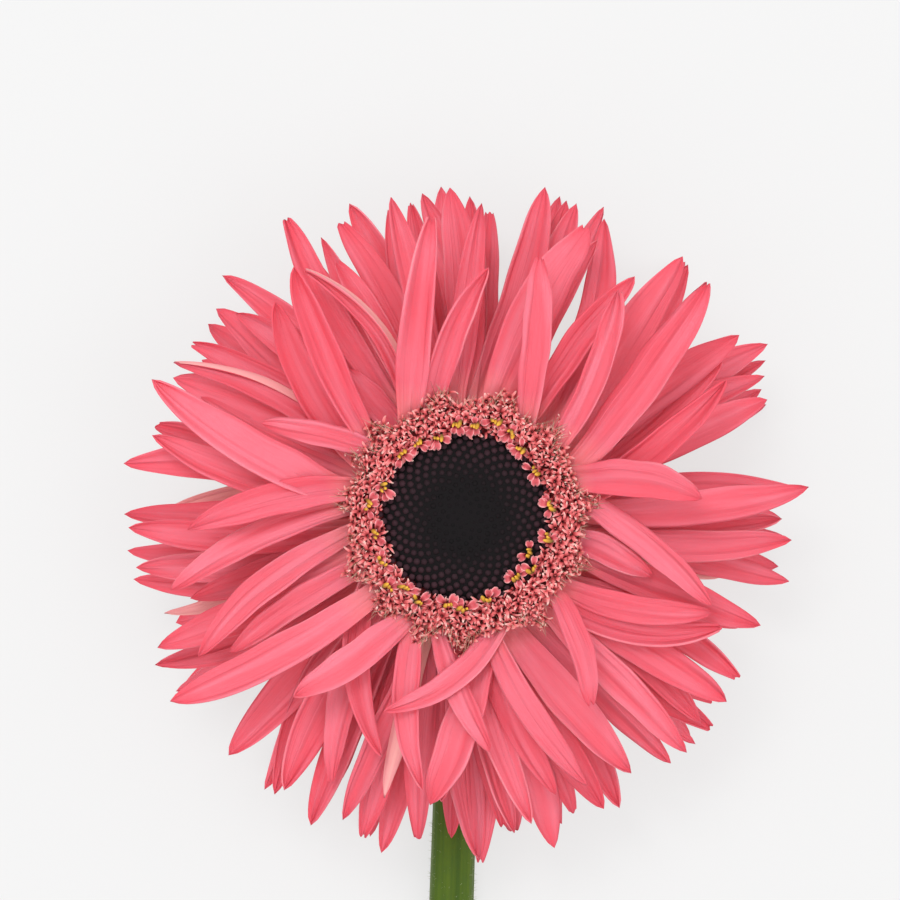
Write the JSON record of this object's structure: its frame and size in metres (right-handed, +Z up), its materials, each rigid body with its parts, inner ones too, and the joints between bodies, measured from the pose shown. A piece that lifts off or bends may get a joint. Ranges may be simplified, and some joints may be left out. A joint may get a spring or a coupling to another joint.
{
  "type": "cut gerbera",
  "caption": "Cut gerbera lying down: a coral-pink daisy-like flower head with a dark middle facing up, on a long green stem that bends at the neck and runs flat along the surface.",
  "frame": {"origin": "the middle of the footprint, on the surface that the flower lies on", "axes": "+Z up, the way the flower head faces; +Y along the stem from the cut end to the head; +X to the right of the head seen from above with the stem towards the viewer"},
  "size_m": [0.1106, 0.4212, 0.0452],
  "materials": {
    "petal": "satin, fine lengthwise veins",
    "trans_floret": "satin, small crowded florets",
    "disc": "matt, small crowded buds",
    "receptacle": "fleshy, matt",
    "bract": "matt, slightly hairy",
    "stem": "satin, finely ridged and hairy"
  },
  "bodies": {
    "root": {"stem": "stem", "receptacle": "receptacle", "involucre": "bract", "disc_florets": "disc", "trans_florets": "trans_floret", "lowest_ray_01": "petal", "lowest_ray_02": "petal", "lowest_ray_03": "petal", "lowest_ray_04": "petal", "lowest_ray_05": "petal", "lowest_ray_06": "petal", "lowest_ray_07": "petal", "lowest_ray_08": "petal", "lowest_ray_09": "petal", "lowest_ray_10": "petal", "lowest_ray_11": "petal", "lowest_ray_12": "petal", "lower_ray_01": "petal", "lower_ray_02": "petal", "lower_ray_03": "petal", "lower_ray_04": "petal", "lower_ray_05": "petal", "lower_ray_06": "petal", "lower_ray_07": "petal", "lower_ray_08": "petal", "lower_ray_09": "petal", "middle_ray_01": "petal", "middle_ray_02": "petal", "middle_ray_03": "petal", "middle_ray_04": "petal", "middle_ray_05": "petal", "middle_ray_06": "petal", "middle_ray_07": "petal", "middle_ray_08": "petal", "middle_ray_09": "petal", "middle_ray_10": "petal", "middle_ray_11": "petal", "middle_ray_12": "petal", "middle_ray_13": "petal", "middle_ray_14": "petal", "upper_ray_01": "petal", "upper_ray_02": "petal", "upper_ray_03": "petal", "upper_ray_04": "petal", "upper_ray_05": "petal", "upper_ray_06": "petal", "upper_ray_07": "petal", "upper_ray_08": "petal", "upper_ray_09": "petal", "upper_ray_10": "petal", "upper_ray_11": "petal", "front_ray_01": "petal", "front_ray_02": "petal", "front_ray_03": "petal", "front_ray_04": "petal", "front_ray_05": "petal", "front_ray_06": "petal", "front_ray_07": "petal", "front_ray_08": "petal", "front_ray_09": "petal"}
  },
  "joints": []
}
